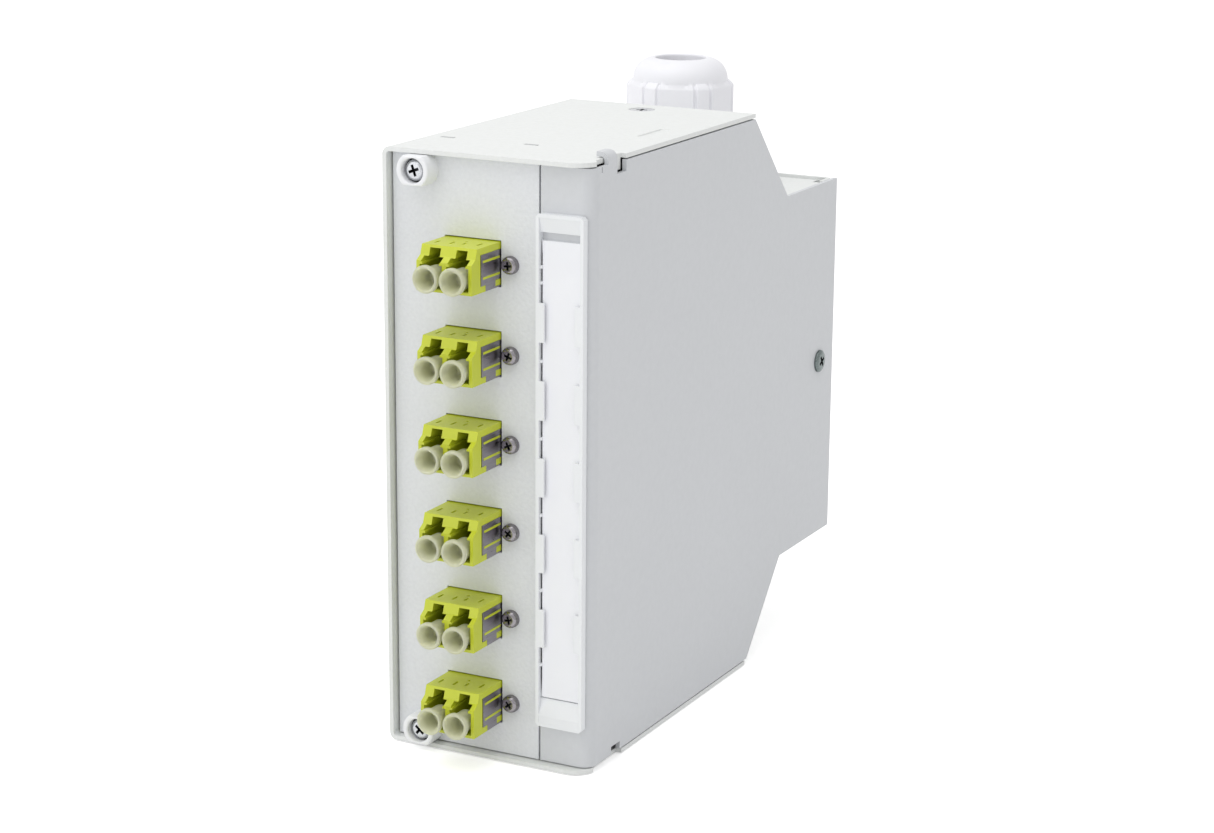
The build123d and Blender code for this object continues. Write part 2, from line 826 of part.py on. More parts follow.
with BuildPart() as rail_latch:
    with BuildSketch(lengthwise(clip_cx)):
        with BuildLine():
            Polyline(
                (latch_front, latch_low),
                (latch_front, lip_low - rail_play),
                (finger_front, lip_low - rail_play),
                (finger_front, lip_low + hook_reach),
                (finger_front + latch_plate, lip_low + hook_reach - latch_plate),
                (finger_front + latch_plate, lip_low - rail_play - latch_plate),
                (latch_back, lip_low - rail_play - latch_plate),
                (latch_back, latch_low),
                close=True,
            )
        make_face()
    extrude(amount=latch_width_x / 2, both=True)
    block(clip_cx - window_width / 2, clip_cx + window_width / 2, plate_back, latch_back,
          stop_bottom - slide_gap, window_high, mode=Mode.SUBTRACT)
    with BuildSketch(across(latch_front)):
        with Locations((clip_cx, rivet_z + latch_travel / 2)):
            with GridLocations(rivet_spacing, 0, 2, 1):
                SlotCenterToCenter(latch_travel + seam, rivet + seam, rotation=90)
        with Locations((clip_cx, latch_low + release_height)):
            Rectangle(release_width, release_height)
    extrude(amount=-latch_plate, mode=Mode.SUBTRACT)
save(rail_latch, "rail_latch")

# Flat zigzag spring in the latch's window, standing on the bracket's stop.
fold_height = (spring_length - spring_leaf) / spring_folds
spring_half = window_width / 2 - rail_play
with BuildPart() as latch_spring:
    for i in range(spring_folds + 1):
        z0 = stop_top + i * fold_height
        block(clip_cx - spring_half, clip_cx + spring_half, latch_front, latch_front + spring_depth, z0,
              z0 + spring_leaf)
    for i in range(spring_folds):
        z0 = stop_top + i * fold_height
        x = clip_cx + (spring_half - spring_leaf if i % 2 else -spring_half)
        block(x, x + spring_leaf, latch_front, latch_front + spring_depth, z0, z0 + fold_height)
save(latch_spring, "latch_spring")

# Splice tray on two posts from the left side, with half-round fibre guides and a splice comb.
tray_x = left + sheet + tray_stand
floor_x = tray_x + tray_floor
rim_x = tray_x + tray_depth
tray_length = slope_end - tray_gap - tray_front
tray_height = height - tray_bottom - tray_head
tray_cy = front + tray_front + tray_length / 2
tray_cz = tray_bottom + tray_height / 2
drum_spacing = tray_height - 2 * drum_gap - drum_width
drum_zs = [tray_cz + side * drum_spacing / 2 for side in (1, -1)]
with BuildPart() as splice_tray:
    with BuildSketch(lengthwise(tray_x)):
        with Locations((tray_cy, tray_cz)):
            RectangleRounded(tray_length, tray_height, tray_corner)
    extrude(amount=tray_depth)
    with BuildSketch(lengthwise(floor_x)):
        with Locations((tray_cy, tray_cz)):
            RectangleRounded(tray_length - 2 * tray_wall, tray_height - 2 * tray_wall,
                             tray_corner - tray_wall)
    extrude(amount=tray_depth, mode=Mode.SUBTRACT)
    # gates where the cable and the pigtails come in
    for y in (tray_cy - tray_length / 2, tray_cy + tray_length / 2):
        block(floor_x, rim_x, y - 2 * tray_wall, y + 2 * tray_wall, drum_zs[0] - tray_gate / 2,
              drum_zs[0] + tray_gate / 2, mode=Mode.SUBTRACT)
    # half-round guides that keep the fibre's bends wide
    with BuildSketch(lengthwise(floor_x)):
        for z, way in zip(drum_zs, (1, -1)):
            with Locations((tray_cy, z)):
                Circle(drum_width / 2)
                Circle(drum_width / 2 - drum_wall, mode=Mode.SUBTRACT)
            with Locations((tray_cy, z - way * drum_width / 2)):
                Rectangle(drum_width + 2 * drum_wall, drum_width, mode=Mode.SUBTRACT)
    extrude(amount=drum_height)
    # fingers that hold the loops down
    finger_x = rim_x - lid_thickness - hole_gap
    for z in (tray_cz + drum_width / 2, tray_cz - drum_width / 2):
        for y, inward in ((tray_cy - tray_length / 2 + tray_wall, 1),
                          (tray_cy + tray_length / 2 - tray_wall, -1)):
            block(finger_x - lid_thickness, finger_x, y, y + inward * finger_reach, z - finger_width / 2,
                  z + finger_width / 2)
    end_reach = drum_gap - tray_wall - finger_gap
    for z, inward in ((tray_bottom + tray_wall, 1), (tray_bottom + tray_height - tray_wall, -1)):
        block(finger_x - lid_thickness, finger_x, tray_cy - finger_width / 2, tray_cy + finger_width / 2,
              z, z + inward * end_reach)
save(splice_tray, "splice_tray")

with BuildPart() as tray_standoffs:
    with BuildSketch(lengthwise(left + sheet)):
        with Locations(*[(tray_cy, z) for z in drum_zs]):
            RegularPolygon(standoff_flats / 2, 6, major_radius=False)
    extrude(amount=tray_stand)
save(tray_standoffs, "tray_standoffs")

comb_width = comb_slots * comb_slot + (comb_slots + 1) * comb_wall
comb_length = drum_spacing - 2 * comb_gap
with BuildPart() as splice_comb:
    with BuildSketch(lengthwise(floor_x)):
        with Locations((tray_cy, tray_cz)):
            Rectangle(comb_width, comb_length)
    extrude(amount=comb_height)
    with BuildSketch(lengthwise(floor_x + comb_wall)):
        with Locations((tray_cy, tray_cz)):
            with GridLocations(comb_slot + comb_wall, 0, comb_slots, 1):
                Rectangle(comb_slot, comb_length)
    extrude(amount=comb_height, mode=Mode.SUBTRACT)
save(splice_comb, "splice_comb")

# Clear lid of the tray with a rim that drops inside the wall.
lid_rim = tray_wall + hole_gap
with BuildPart() as tray_lid:
    with BuildSketch(lengthwise(rim_x)):
        with Locations((tray_cy, tray_cz)):
            RectangleRounded(tray_length, tray_height, tray_corner)
    extrude(amount=lid_thickness)
    with BuildSketch(lengthwise(rim_x)):
        with Locations((tray_cy, tray_cz)):
            with GridLocations(tray_length - 2 * lid_rim - lid_thickness, 0, 2, 1):
                Rectangle(lid_thickness, drum_width)
    extrude(amount=-lid_thickness)
save(tray_lid, "tray_lid")
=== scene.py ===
# Fibre box for a 35 mm rail: the finished look around its CAD model.
import math

import bmesh
import bpy
from mathutils import Euler, Matrix, Vector


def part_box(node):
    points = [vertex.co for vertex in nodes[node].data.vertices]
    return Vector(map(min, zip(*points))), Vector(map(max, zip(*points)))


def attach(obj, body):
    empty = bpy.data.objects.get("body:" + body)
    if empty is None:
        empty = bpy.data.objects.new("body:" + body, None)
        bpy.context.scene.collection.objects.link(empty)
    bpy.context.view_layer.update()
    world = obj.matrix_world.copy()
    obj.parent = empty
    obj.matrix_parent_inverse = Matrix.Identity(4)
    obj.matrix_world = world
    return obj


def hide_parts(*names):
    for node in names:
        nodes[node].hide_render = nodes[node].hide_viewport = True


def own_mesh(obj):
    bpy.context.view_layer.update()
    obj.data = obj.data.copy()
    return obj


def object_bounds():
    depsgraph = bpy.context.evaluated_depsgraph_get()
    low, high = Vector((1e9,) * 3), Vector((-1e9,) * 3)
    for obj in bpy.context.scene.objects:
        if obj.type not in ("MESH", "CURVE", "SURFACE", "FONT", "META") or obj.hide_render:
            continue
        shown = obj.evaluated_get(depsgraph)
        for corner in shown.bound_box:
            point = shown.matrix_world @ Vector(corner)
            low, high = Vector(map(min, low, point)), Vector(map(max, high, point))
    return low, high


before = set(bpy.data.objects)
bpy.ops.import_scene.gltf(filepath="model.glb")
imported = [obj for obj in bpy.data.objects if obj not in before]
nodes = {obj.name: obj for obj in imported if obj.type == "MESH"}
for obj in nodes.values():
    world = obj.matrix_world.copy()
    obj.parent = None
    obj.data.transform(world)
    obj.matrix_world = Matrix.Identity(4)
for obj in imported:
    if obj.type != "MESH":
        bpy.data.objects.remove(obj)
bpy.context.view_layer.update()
scene = bpy.context.scene
scene.view_settings.view_transform = "Standard"
print("frame loaded:", len(nodes), "nodes")


# small helpers; sizes are in millimetres until mm() turns them to metres
def mm(*values):
    return Vector(values) / 1000


def colour(hexText, alpha=1.0):
    # sRGB hex to the linear values that shaders take
    parts = [int(hexText[i:i + 2], 16) / 255 for i in (1, 3, 5)]
    linear = [c / 12.92 if c <= 0.04045 else ((c + 0.055) / 1.055) ** 2.4 for c in parts]
    return (*linear, alpha)


def addNode(tree, kind, inputs=None, **settings):
    node = tree.nodes.new(kind)
    for name, value in settings.items():
        setattr(node, name, value)
    for socket, value in (inputs or {}).items():
        if isinstance(value, bpy.types.NodeSocket):
            tree.links.new(value, node.inputs[socket])
        else:
            node.inputs[socket].default_value = value
    return node


def newObject(name, mesh, material, body):
    obj = bpy.data.objects.new(name, mesh)
    scene.collection.objects.link(obj)
    mesh.materials.clear()
    mesh.materials.append(material)
    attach(obj, body)
    return obj


def fromBmesh(name, bm, material, body, smoothAngle=35):
    bmesh.ops.recalc_face_normals(bm, faces=bm.faces)
    mesh = bpy.data.meshes.new(name)
    bm.to_mesh(mesh)
    bm.free()
    mesh.shade_smooth()
    mesh.set_sharp_from_angle(angle=math.radians(smoothAngle))
    return newObject(name, mesh, material, body)


def lathe(bm, profile, centre, axis, steps=48, closed=False):
    # profile is a line of (distance along the axis, radius), turned about it; a radius may depend on the angle
    turnTo = Vector((0, 0, 1)).rotation_difference(Vector(axis)).to_matrix()
    rings = []
    for along, radius in profile:
        if radius == 0:
            rings.append([bm.verts.new(mm(*centre) + turnTo @ mm(0, 0, along))])
            continue
        ring = []
        for i in range(steps):
            a = 2 * math.pi * i / steps
            reach = radius(a) if callable(radius) else radius
            ring.append(bm.verts.new(mm(*centre) + turnTo @ mm(reach * math.cos(a), reach * math.sin(a), along)))
        rings.append(ring)
    for low, high in zip(rings, rings[1:] + rings[:closed]):
        for i in range(steps):
            j = (i + 1) % steps
            corners = []
            for v in (low[i % len(low)], low[j % len(low)], high[j % len(high)], high[i % len(high)]):
                if v not in corners:
                    corners.append(v)
            bm.faces.new(corners)


def box(bm, low, high):
    for v in bmesh.ops.create_cube(bm, size=1.0)["verts"]:
        v.co = mm(*((low[i] + high[i]) / 2 + v.co[i] * (high[i] - low[i]) for i in range(3)))


def finished(obj):
    # the object's mesh with its modifiers in it
    graph = bpy.context.evaluated_depsgraph_get()
    mesh = bpy.data.meshes.new_from_object(obj.evaluated_get(graph))
    obj.modifiers.clear()
    obj.data = mesh
    return obj


def evenShading(obj, sharpAngle):
    # flat faces stay flat up to their rounded edges
    obj.data.shade_smooth()
    obj.data.set_sharp_from_angle(angle=math.radians(sharpAngle))
    even = obj.modifiers.new("even", "WEIGHTED_NORMAL")
    even.keep_sharp = True
    even.weight = 100
    finished(obj)


def cutOut(obj, bm):
    # takes the closed shapes in bm out of obj
    cutterMesh = bpy.data.meshes.new("cutter")
    bmesh.ops.recalc_face_normals(bm, faces=bm.faces)
    bm.to_mesh(cutterMesh)
    bm.free()
    cutter = bpy.data.objects.new("cutter", cutterMesh)
    scene.collection.objects.link(cutter)
    cut = obj.modifiers.new("cut", "BOOLEAN")
    cut.operation = "DIFFERENCE"
    cut.solver = "EXACT"
    cut.use_self = True
    cut.object = cutter
    finished(obj)
    bpy.data.objects.remove(cutter)
    return obj


# how a CAD node's sharp edges are found and rounded
rounding = {"weld": 0.001, "flatAngle": 1, "segments": 2, "bevelAngle": 28, "sharpAngle": 50, "windingCorners": 60}


def reworked(mesh, work):
    bm = bmesh.new()
    bm.from_mesh(mesh)
    work(bm)
    bm.to_mesh(mesh)
    bm.free()


def weld(bm):
    bmesh.ops.remove_doubles(bm, verts=bm.verts, dist=rounding["weld"] / 1000)


def mergeFlats(bm):
    weld(bm)
    bmesh.ops.dissolve_limit(bm, angle_limit=math.radians(rounding["flatAngle"]), verts=bm.verts, edges=bm.edges)


def fillWinding(bm):
    # large faces that wind round many openings are filled here, because left whole they can fill wrongly
    bmesh.ops.triangulate(bm, faces=[face for face in bm.faces if len(face.verts) > rounding["windingCorners"]])


def softened(nodeName, material, body, edgeMm, cuts=None):
    # a copy of a CAD node whose sharp edges are rounded as paint or moulding leaves them
    obj = newObject(nodeName + "Finish", nodes[nodeName].data.copy(), material, body)
    reworked(obj.data, weld)
    if cuts:
        cutOut(obj, cuts)
    reworked(obj.data, mergeFlats)
    edge = obj.modifiers.new("edge", "BEVEL")
    edge.width = edgeMm / 1000
    edge.segments = rounding["segments"]
    edge.limit_method = "ANGLE"
    edge.angle_limit = math.radians(rounding["bevelAngle"])
    edge.miter_outer = "MITER_ARC"
    finished(obj)
    reworked(obj.data, fillWinding)
    evenShading(obj, rounding["sharpAngle"])
    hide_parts(nodeName)
    return obj


# materials; grainMm and cloudMm are the sizes of their patterns
def basicMaterial(name, grainMm, detail, stretch=None):
    # the grain runs through the object's own space, drawn out along one axis where stretch says so
    material = bpy.data.materials.new(name)
    material.use_nodes = True
    tree = material.node_tree
    place = addNode(tree, "ShaderNodeTexCoord").outputs["Object"]
    run = addNode(tree, "ShaderNodeMapping", {"Vector": place, "Scale": stretch}).outputs[0] if stretch else place
    grain = addNode(tree, "ShaderNodeTexNoise", {"Vector": run, "Scale": 1000 / grainMm, "Detail": detail})
    return material, tree, place, grain.outputs["Fac"]


def dress(tree, hexes, toneBy, roughBy, roughRange, grain, bump, depthMm):
    # tone and roughness each follow a pattern, and the relief follows the grain
    shader = tree.nodes["Principled BSDF"]
    tone = addNode(tree, "ShaderNodeMix", {0: toneBy, 6: colour(hexes[0]), 7: colour(hexes[1])}, data_type="RGBA")
    rough = addNode(tree, "ShaderNodeMapRange", {"Value": roughBy, "To Min": roughRange[0], "To Max": roughRange[1]})
    relief = addNode(tree, "ShaderNodeBump", {"Height": grain, "Strength": bump, "Distance": depthMm / 1000})
    tree.links.new(tone.outputs[2], shader.inputs["Base Color"])
    tree.links.new(rough.outputs["Result"], shader.inputs["Roughness"])
    tree.links.new(relief.outputs["Normal"], shader.inputs["Normal"])
    return shader


# a cured coat pulls into cells of about a millimetre, and its gloss drifts over some centimetres
paint = {"cloudMm": 71.43, "cloudDetail": 2.0, "grainDetail": 2.0, "roughSpread": 0.06, "ior": 1.5}


def powderCoat(name, dark, light, grainMm, bump, roughness):
    # polyester powder coat baked on sheet steel: orange peel, and a faint change of tone from grain to grain
    material, tree, place, grain = basicMaterial(name, grainMm, paint["grainDetail"])
    cloud = addNode(tree, "ShaderNodeTexNoise",
                    {"Vector": place, "Scale": 1000 / paint["cloudMm"], "Detail": paint["cloudDetail"]})
    shader = dress(tree, (dark, light), grain, cloud.outputs["Fac"],
                   (roughness - paint["roughSpread"], roughness + paint["roughSpread"]), grain, bump, grainMm / 4)
    shader.inputs["IOR"].default_value = paint["ior"]
    return material


# the tool's grain is about 0.1 mm, too fine to show, so it is drawn five times as coarse
moulding = {"cloudMm": 6.25, "cloudDetail": 3.0, "grainMm": 0.5, "grainDetail": 2.0, "roughSpread": 0.05}


def mouldedPlastic(name, dark, light, roughness, ior=1.54, bump=0.08, **sockets):
    # moulded from a finely eroded tool: a soft sheen, slight cloudiness and no grain that the eye can follow
    material, tree, place, grain = basicMaterial(name, moulding["grainMm"], moulding["grainDetail"])
    cloud = addNode(tree, "ShaderNodeTexNoise",
                    {"Vector": place, "Scale": 1000 / moulding["cloudMm"], "Detail": moulding["cloudDetail"]})
    shader = dress(tree, (dark, light), cloud.outputs["Fac"], cloud.outputs["Fac"],
                   (roughness - moulding["roughSpread"], roughness + moulding["roughSpread"]), grain, bump,
                   moulding["grainMm"] / 4)
    shader.inputs["IOR"].default_value = ior
    for socket, value in sockets.items():
        shader.inputs[socket.replace("_", " ")].default_value = value
    return material


# rolling and turning lines are a few hundredths of a millimetre, so they are drawn 0.3 mm apart to show
plating = {"grainMm": 0.3, "grainDetail": 3.0, "roughSpread": 0.07, "bump": 0.1}


def platedSteel(name, dark, light, roughness, grainMm=plating["grainMm"], stretch=(1, 1, 1)):
    # rolled or turned steel under a thin plating: fine drawn lines that blur its reflections one way
    material, tree, place, grain = basicMaterial(name, grainMm, plating["grainDetail"], stretch)
    shader = dress(tree, (dark, light), grain, grain,
                   (roughness - plating["roughSpread"], roughness + plating["roughSpread"]), grain, plating["bump"],
                   grainMm / 8)
    shader.inputs["Metallic"].default_value = 1.0
    return material


casePaint = powderCoat("polyesterPowderCoatCase", "#e2e4e2", "#eceeed", 0.9, 0.25, 0.5)  # off-white, a fine peel
coverPaint = powderCoat("polyesterPowderCoatCover", "#cfd1d4", "#d5d7da", 1.4, 0.12, 0.45)  # cool grey and smoother
panelPaint = powderCoat("texturedPowderCoatPanel", "#dbdde1", "#e8eaed", 0.8, 0.55, 0.6)  # coarse and matt
zincSteel = platedSteel("zincPlatedSheetSteel", "#a9abac", "#c4c6c7", 0.38, 0.4, (0.15, 1, 1))  # dull, lines across
nickelSteel = platedSteel("nickelPlatedTurnedSteel", "#a4a6aa", "#d6d8db", 0.2)  # bright turned heads
darkScrewSteel = platedSteel("zincPlatedTurnedSteel", "#4d5656", "#87908f", 0.26)  # dark and a little green
stainlessStrip = platedSteel("rolledStainlessStrip", "#8d8891", "#aaa6ad", 0.3, stretch=(1, 0.1, 1))  # lines up it
smokedNickel = platedSteel("nickelPlatedColdFormedSteel", "#6f6c6f", "#a5a1a5", 0.2)  # greyer than the bright screws
# painted shade: the screws' recesses get this dark steel so that they look shadowed
recessShadeSteel = platedSteel("paintedRecessShadeSteel", "#2b2d30", "#47494c", 0.5)  # keeps the recesses dark
whiteAbs = mouldedPlastic("mouldedWhiteAbs", "#ecedf0", "#f3f4f6", 0.38)  # soft sheen, faintly blue
holderStyrene = mouldedPlastic("mouldedWhitePolystyrene", "#e8eaed", "#eff1f3", 0.34, ior=1.59)  # glossy, greyish
labelCard = mouldedPlastic("mattPolyesterLabel", "#f0f1f6", "#f5f6fa", 0.55, bump=0.02)  # matt and bright
limePbt = mouldedPlastic("mouldedLimePbt", "#c2cb29", "#cfd838", 0.38)  # strong lime with a soft sheen
# milky: light passes into the thin wall and comes out pale yellow
capPolythene = mouldedPlastic("softTranslucentPolythene", "#e2e3c2", "#ecedd2", 0.35, ior=1.51,
                              Transmission_Weight=0.4, Subsurface_Weight=0.4, Subsurface_Scale=0.0015,
                              Subsurface_Radius=(1, 1, 0.7))
glandNylon = mouldedPlastic("mouldedWhiteNylon", "#eeeef3", "#f4f4f8", 0.42)  # waxy white
sealRubber = mouldedPlastic("mouldedBlackRubber", "#141414", "#1d1d1d", 0.6, ior=1.52)  # flat black
trayAbs = mouldedPlastic("mouldedGreyAbs", "#c9cbcb", "#d2d4d4", 0.45)  # light grey
# clear and smooth, so that the tray shows through it
clearLid = mouldedPlastic("clearPolystyrene", "#f0f3f5", "#f7f9fa", 0.12, ior=1.58, bump=0.02,
                          Transmission_Weight=0.85)
print("materials made")

# camera, fitted to the photograph by the case's corners
photoCamera = {"place": (277.85, -524.0, 221.6), "turn": (75.379, -0.407, 27.358), "focalPixels": 2764,
               "width": 1214}
cameraData = bpy.data.cameras.new("photoCamera")
cameraData.lens = photoCamera["focalPixels"] / photoCamera["width"] * cameraData.sensor_width
camera = bpy.data.objects.new("photoCamera", cameraData)
camera.location = mm(*photoCamera["place"])
camera.rotation_euler = Euler([math.radians(a) for a in photoCamera["turn"]])
scene.collection.objects.link(camera)
scene.camera = camera

# each CAD node's material, also under a piece that replaces it
finishes = {
    casePaint: ["chassis", "gland_plate", "lower_rear_plate"],
    coverPaint: ["cover"],
    panelPaint: ["front_panel"],
    zincSteel: ["panel_bracket_upper", "panel_bracket_lower", "rail_bracket", "rail_latch", "latch_spring",
                "tray_standoffs"],
    darkScrewSteel: ["cover_screw"],
    nickelSteel: ["collar_screw_upper", "collar_screw_lower"],
    stainlessStrip: ["adapter_clips"],
    whiteAbs: ["collar_sleeve_upper", "collar_sleeve_lower", "label_holder"],
    labelCard: ["label_strip"],
    limePbt: ["adapters"],
    capPolythene: ["inner_plugs"] + [f"dust_cap_{i}" for i in range(1, 13)],
    glandNylon: ["gland_body", "gland_locknut", "gland_nut"],
    sealRubber: ["gland_seal"],
    trayAbs: ["splice_tray", "splice_comb"],
    clearLid: ["tray_lid"],
}
for material, names in finishes.items():
    for name in names:
        nodes[name].data.materials.clear()
        nodes[name].data.materials.append(material)

# edges rounded by paint and by moulding
roundedEdges = {"chassis": (casePaint, "housing", 0.15), "cover": (coverPaint, "cover", 0.15),
                "gland_body": (glandNylon, "housing", 0.3)}
for nodeName, (material, body, edgeMm) in roundedEdges.items():
    softened(nodeName, material, body, edgeMm)

# the latch's spring stands on the clip's stop and shortens as the latch is pulled down; here its copy only gets
# rounded edges and a mesh of its own
latchSpring = {"edge": 0.1, "travel": 3.5}
spring = softened("latch_spring", zincSteel, "housing", latchSpring["edge"])
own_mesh(spring)

# label holder: its head slopes down to the window, its foot is sunk a little, and the window is open above and below
# the label
holder = {"edge": 0.12, "rim": 0.75, "headSlope": (0.12, 0.75), "footSink": 0.1, "stripGap": 0.4, "headGap": 1.8,
          "ramp": 4.2, "skin": 0.05, "stripSkin": 0.1, "overlap": 0.01, "clear": 1.0}
holderLow, holderHigh = (corner * 1000 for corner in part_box("label_holder"))
labelLow, labelHigh = (corner * 1000 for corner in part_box("label_strip"))
pocketLeft, pocketRight = holderLow.x + holder["rim"], holderHigh.x - holder["rim"]
outside, floorY = holderLow.y - holder["clear"], holderHigh.y + holder["skin"]
headFoot = labelHigh.z + holder["headGap"]
opened = bmesh.new()
box(opened, (pocketLeft, outside, labelHigh.z + holder["skin"]), (pocketRight, floorY, headFoot))
box(opened, (pocketLeft, labelLow.y + holder["stripSkin"], labelLow.z - holder["stripGap"] + holder["skin"]),
    (pocketRight, floorY, labelLow.z - holder["skin"]))
box(opened, (pocketLeft, outside, holderLow.z + holder["rim"]),
    (pocketRight, holderLow.y + holder["footSink"], labelLow.z - holder["ramp"]))
wedgeFoot, wedgeTop = headFoot - holder["overlap"], holderHigh.z - holder["rim"]
wedge = [(outside, wedgeFoot), (holderLow.y + holder["headSlope"][1], wedgeFoot),
         (holderLow.y + holder["headSlope"][0], wedgeTop), (outside, wedgeTop)]
sides = [[opened.verts.new(mm(x, y, z)) for y, z in wedge] for x in (pocketLeft, pocketRight)]
for side in sides:
    opened.faces.new(side)
for i in range(len(wedge)):
    opened.faces.new((sides[0][i - 1], sides[0][i], sides[1][i], sides[1][i - 1]))
softened("label_holder", holderStyrene, "cover", holder["edge"], cuts=opened)
print("edges rounded")

# adapters: marks on the top, and ribs through the side clip
adapter = {"count": 6, "width": 13.0, "height": 9.3, "pitch": 19.1, "edge": 0.1, "markDepth": 0.6, "clear": 1}
adapterLow, adapterHigh = (corner * 1000 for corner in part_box("adapters"))
adapterX = (adapterLow.x + adapterHigh.x) / 2
noseY = adapterLow.y
panelLow, panelHigh = (corner * 1000 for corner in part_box("front_panel"))
adapterZs = [adapterLow.z + adapter["height"] / 2 + i * adapter["pitch"] for i in range(adapter["count"])]
# each mark's place across and behind the nose, its width and its length
topMarks = [(-4.8, 5.7, 0.5, 2.2), (-1.4, 5.9, 0.5, 2.2), (1.2, 6.3, 0.5, 1.8), (4.4, 7.0, 0.5, 2.2),
            (0.4, 8.6, 0.6, 0.6)]
marks = bmesh.new()
for z in adapterZs:
    top = z + adapter["height"] / 2
    for x, y, wide, long in topMarks:
        box(marks, (adapterX + x - wide / 2, noseY + y - long / 2, top - adapter["markDepth"]),
            (adapterX + x + wide / 2, noseY + y + long / 2, top + adapter["clear"]))
softened("adapters", limePbt, "panel", adapter["edge"], cuts=marks)

ribs = bmesh.new()
rib = {"heights": (1.65, -1.8), "thick": 0.5, "start": 4.6, "end": 11.5, "proud": 0.06, "root": 0.3}
for z in adapterZs:
    for side in (1, -1):
        outer = adapterX + side * (adapter["width"] / 2 + rib["proud"])
        inner = adapterX + side * (adapter["width"] / 2 - rib["root"])
        for up in rib["heights"]:
            box(ribs, (min(outer, inner), noseY + rib["start"], z + up - rib["thick"] / 2),
                (max(outer, inner), noseY + rib["end"], z + up + rib["thick"] / 2))
fromBmesh("adapterRibs", ribs, limePbt, "panel")


# screws with a cross recess, whose arms narrow towards its floor
cross = {"floorArm": 0.5, "floorHalf": 0.6, "clear": 0.5, "wallLean": 0.7, "floorBand": 0.02}


def crossScrew(name, heads, material, body, head, replaced=()):
    # heads are (centre on the seat, direction that the head faces, spin in degrees)
    parts = []
    for seat, facing, spin in heads:
        bm = bmesh.new()
        lathe(bm, head["profile"], seat, facing)
        mesh = bpy.data.meshes.new(name)
        bmesh.ops.recalc_face_normals(bm, faces=bm.faces)
        bm.to_mesh(mesh)
        bm.free()
        part = bpy.data.objects.new(name, mesh)
        scene.collection.objects.link(part)
        # one tapered prism with the outline of a cross
        cutter = bmesh.new()
        rings = []
        for up, armShare, halfShare in ((head["height"] - head["depth"], cross["floorArm"], cross["floorHalf"]),
                                        (head["height"] + cross["clear"], 1.0, 1.0)):
            arm, half = head["recess"] / 2 * armShare, head["slot"] / 2 * halfShare
            quarters = [Matrix.Rotation(math.radians(spin + 90 * quarter), 3, "Z") for quarter in range(4)]
            rings.append([cutter.verts.new(quarter @ mm(x, y, up))
                          for quarter in quarters for x, y in ((arm, half), (half, half), (half, arm))])
        cutter.faces.new(rings[0])
        cutter.faces.new(rings[1])
        for i in range(len(rings[0])):
            cutter.faces.new((rings[0][i - 1], rings[0][i], rings[1][i], rings[1][i - 1]))
        turn = Vector((0, 0, 1)).rotation_difference(Vector(facing)).to_matrix().to_4x4()
        bmesh.ops.transform(cutter, verts=cutter.verts, matrix=Matrix.Translation(mm(*seat)) @ turn)
        parts.append(cutOut(part, cutter))
    joined = bmesh.new()
    for part in parts:
        joined.from_mesh(part.data)
        bpy.data.objects.remove(part)
    screw = fromBmesh(name, joined, material, body, smoothAngle=30)
    screw.data.materials.append(recessShadeSteel)
    # the recess's walls and floor get the dark steel, painted shade for the shadow in the recess
    floorUp = head["height"] - head["depth"]
    for face in screw.data.polygons:
        seat, facing = min(((mm(*seat), Vector(facing)) for seat, facing, spin in heads),
                           key=lambda place: (face.center - place[0]).length)
        up = (face.center - seat).dot(facing) * 1000
        across = ((face.center - seat) * 1000 - facing * up).length
        isWall = up > floorUp and abs(face.normal.dot(facing)) < cross["wallLean"]
        isFloor = abs(up - floorUp) < cross["floorBand"]
        if across < head["recess"] / 2 and (isWall or isFloor):
            face.material_index = 1
    if replaced:
        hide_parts(*replaced)
    return screw


def domed(radius, height, rim, steps=6, crown=0.42):
    # a pan head: a low rim, then a rounded top that draws in by the crown's share of the radius
    line = [(0, 0), (0, radius), (rim, radius)]
    for i in range(1, steps + 1):
        angle = math.pi / 2 * i / steps
        line.append((rim + (height - rim) * math.sin(angle), radius * (1 - crown * (1 - math.cos(angle)))))
    line[-1] = (height, line[-1][1])
    return line + [(height, 0)]


# the adapters' screws were tightened by hand, so each stands at its own angle
flangePitch = 18.0
adapterHead = {"profile": domed(1.95, 1.5, 0.35), "height": 1.5, "recess": 2.2, "slot": 0.55, "depth": 0.9}
spins = {1: (38, 12, 55, 25, 70, 5), -1: (55, 29, 72, 42, 87, 22)}
crossScrew("adapterScrews",
           [((adapterX + side * flangePitch / 2, panelLow.y, z), (0, -1, 0), spins[side][i])
            for i, z in enumerate(adapterZs) for side in (-1, 1)],
           smokedNickel, "panel", adapterHead)

# captive screws, each in a white sleeve with two flats, with a black ring on the bore's floor round the screw
sleeve = {"width": 7.6, "flats": 6.2, "bore": 5.2, "hole": 2.9, "floor": 1.2, "round": 0.4, "ringWidth": 0.27,
          "ringHeight": 1.3, "ringGap": 0.01}
captive = {"head": 2.5, "radius": 2.3, "rim": 1.6, "shank": 1.25, "recess": 2.9, "slot": 0.7, "depth": 1.3}


def sleeveOutline(inset):
    # a circle with two flats, drawn in by the inset
    return lambda a: min(sleeve["width"] / 2, sleeve["flats"] / 2 / max(abs(math.sin(a)), 0.01)) - inset


